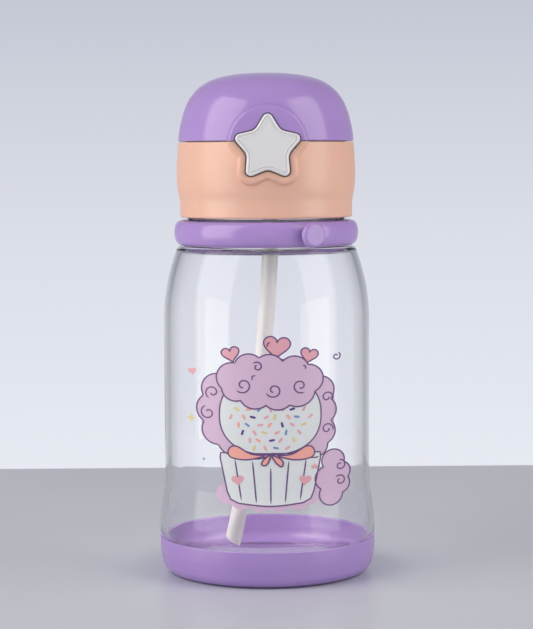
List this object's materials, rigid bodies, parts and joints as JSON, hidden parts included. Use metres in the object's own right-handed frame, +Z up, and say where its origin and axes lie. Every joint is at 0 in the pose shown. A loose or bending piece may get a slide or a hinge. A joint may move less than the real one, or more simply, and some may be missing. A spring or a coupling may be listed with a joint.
{
  "type": "kids water bottle",
  "caption": "Clear water bottle with a screw cap, a pop-up lid released by a star button, a drinking straw, a swivel strap ring and a base boot.",
  "frame": {"origin": "centre of the base, on the surface that the bottle stands on", "axes": "+Z up along the bottle's axis, the star button faces -Y, +X to the right seen from the front"},
  "size_m": [0.0796, 0.0796, 0.1835],
  "materials": {
    "clear_copolyester": "clear injection-moulded copolyester, polished",
    "lilac_gloss": "moulded polypropylene, soft gloss",
    "peach_satin": "moulded polypropylene, satin",
    "silver_grey": "moulded ABS, satin pearl grey",
    "white_plastic": "moulded polypropylene, satin",
    "silicone": "translucent silicone, matt",
    "straw_silicone": "translucent silicone tube",
    "spring_steel": "bright drawn stainless wire"
  },
  "bodies": {
    "bottle": {"bottle_body": "clear_copolyester", "base_boot": "lilac_gloss"},
    "ring": {"strap_ring": "lilac_gloss", "strap_studs": "lilac_gloss"},
    "seal": {"neck_gasket": "silicone"},
    "cap": {"collar_shell": "peach_satin", "inner_cap": "white_plastic", "mouthpiece": "silicone", "straw_connector": "white_plastic", "straw": "straw_silicone", "vent_valve": "silicone", "latch_cover": "white_plastic", "cover_screws": "spring_steel", "latch_spring": "spring_steel", "hinge_pin": "spring_steel", "lid_spring": "spring_steel"},
    "button": {"star_button": "silver_grey", "latch_slider": "white_plastic"},
    "lid": {"lid_shell": "lilac_gloss", "lid_liner": "white_plastic", "spout_stopper": "silicone"}
  },
  "joints": [
    {"name": "ring_swivel", "type": "hinge", "parent": "bottle", "child": "ring", "pos_m": [0, 0, 0.12535], "axis": [0, 0, 1], "continuous": true},
    {"name": "cap_rise", "type": "slide", "parent": "bottle", "child": "seal", "axis": [0, 0, 1], "range_m": [0, 0.0051]},
    {"name": "cap_turn", "type": "hinge", "parent": "seal", "child": "cap", "pos_m": [0, 0, 0.14], "axis": [0, 0, 1], "range_deg": [0, 450]},
    {"name": "lid_flip", "type": "hinge", "parent": "cap", "child": "lid", "pos_m": [0, 0.0342, 0.1584], "axis": [-1, 0, 0], "range_deg": [0, 125], "deforming": ["lid_spring"]},
    {"name": "button_press", "type": "slide", "parent": "cap", "child": "button", "axis": [0, 1, 0], "range_m": [0, 0.0019], "stiffness_N_per_m": 500, "springref_m": -0.002, "deforming": ["latch_spring"]}
  ],
  "couplings": [
    {"joint": "cap_rise", "follows": "cap_turn", "m_per_rad": 0.000636}
  ]
}
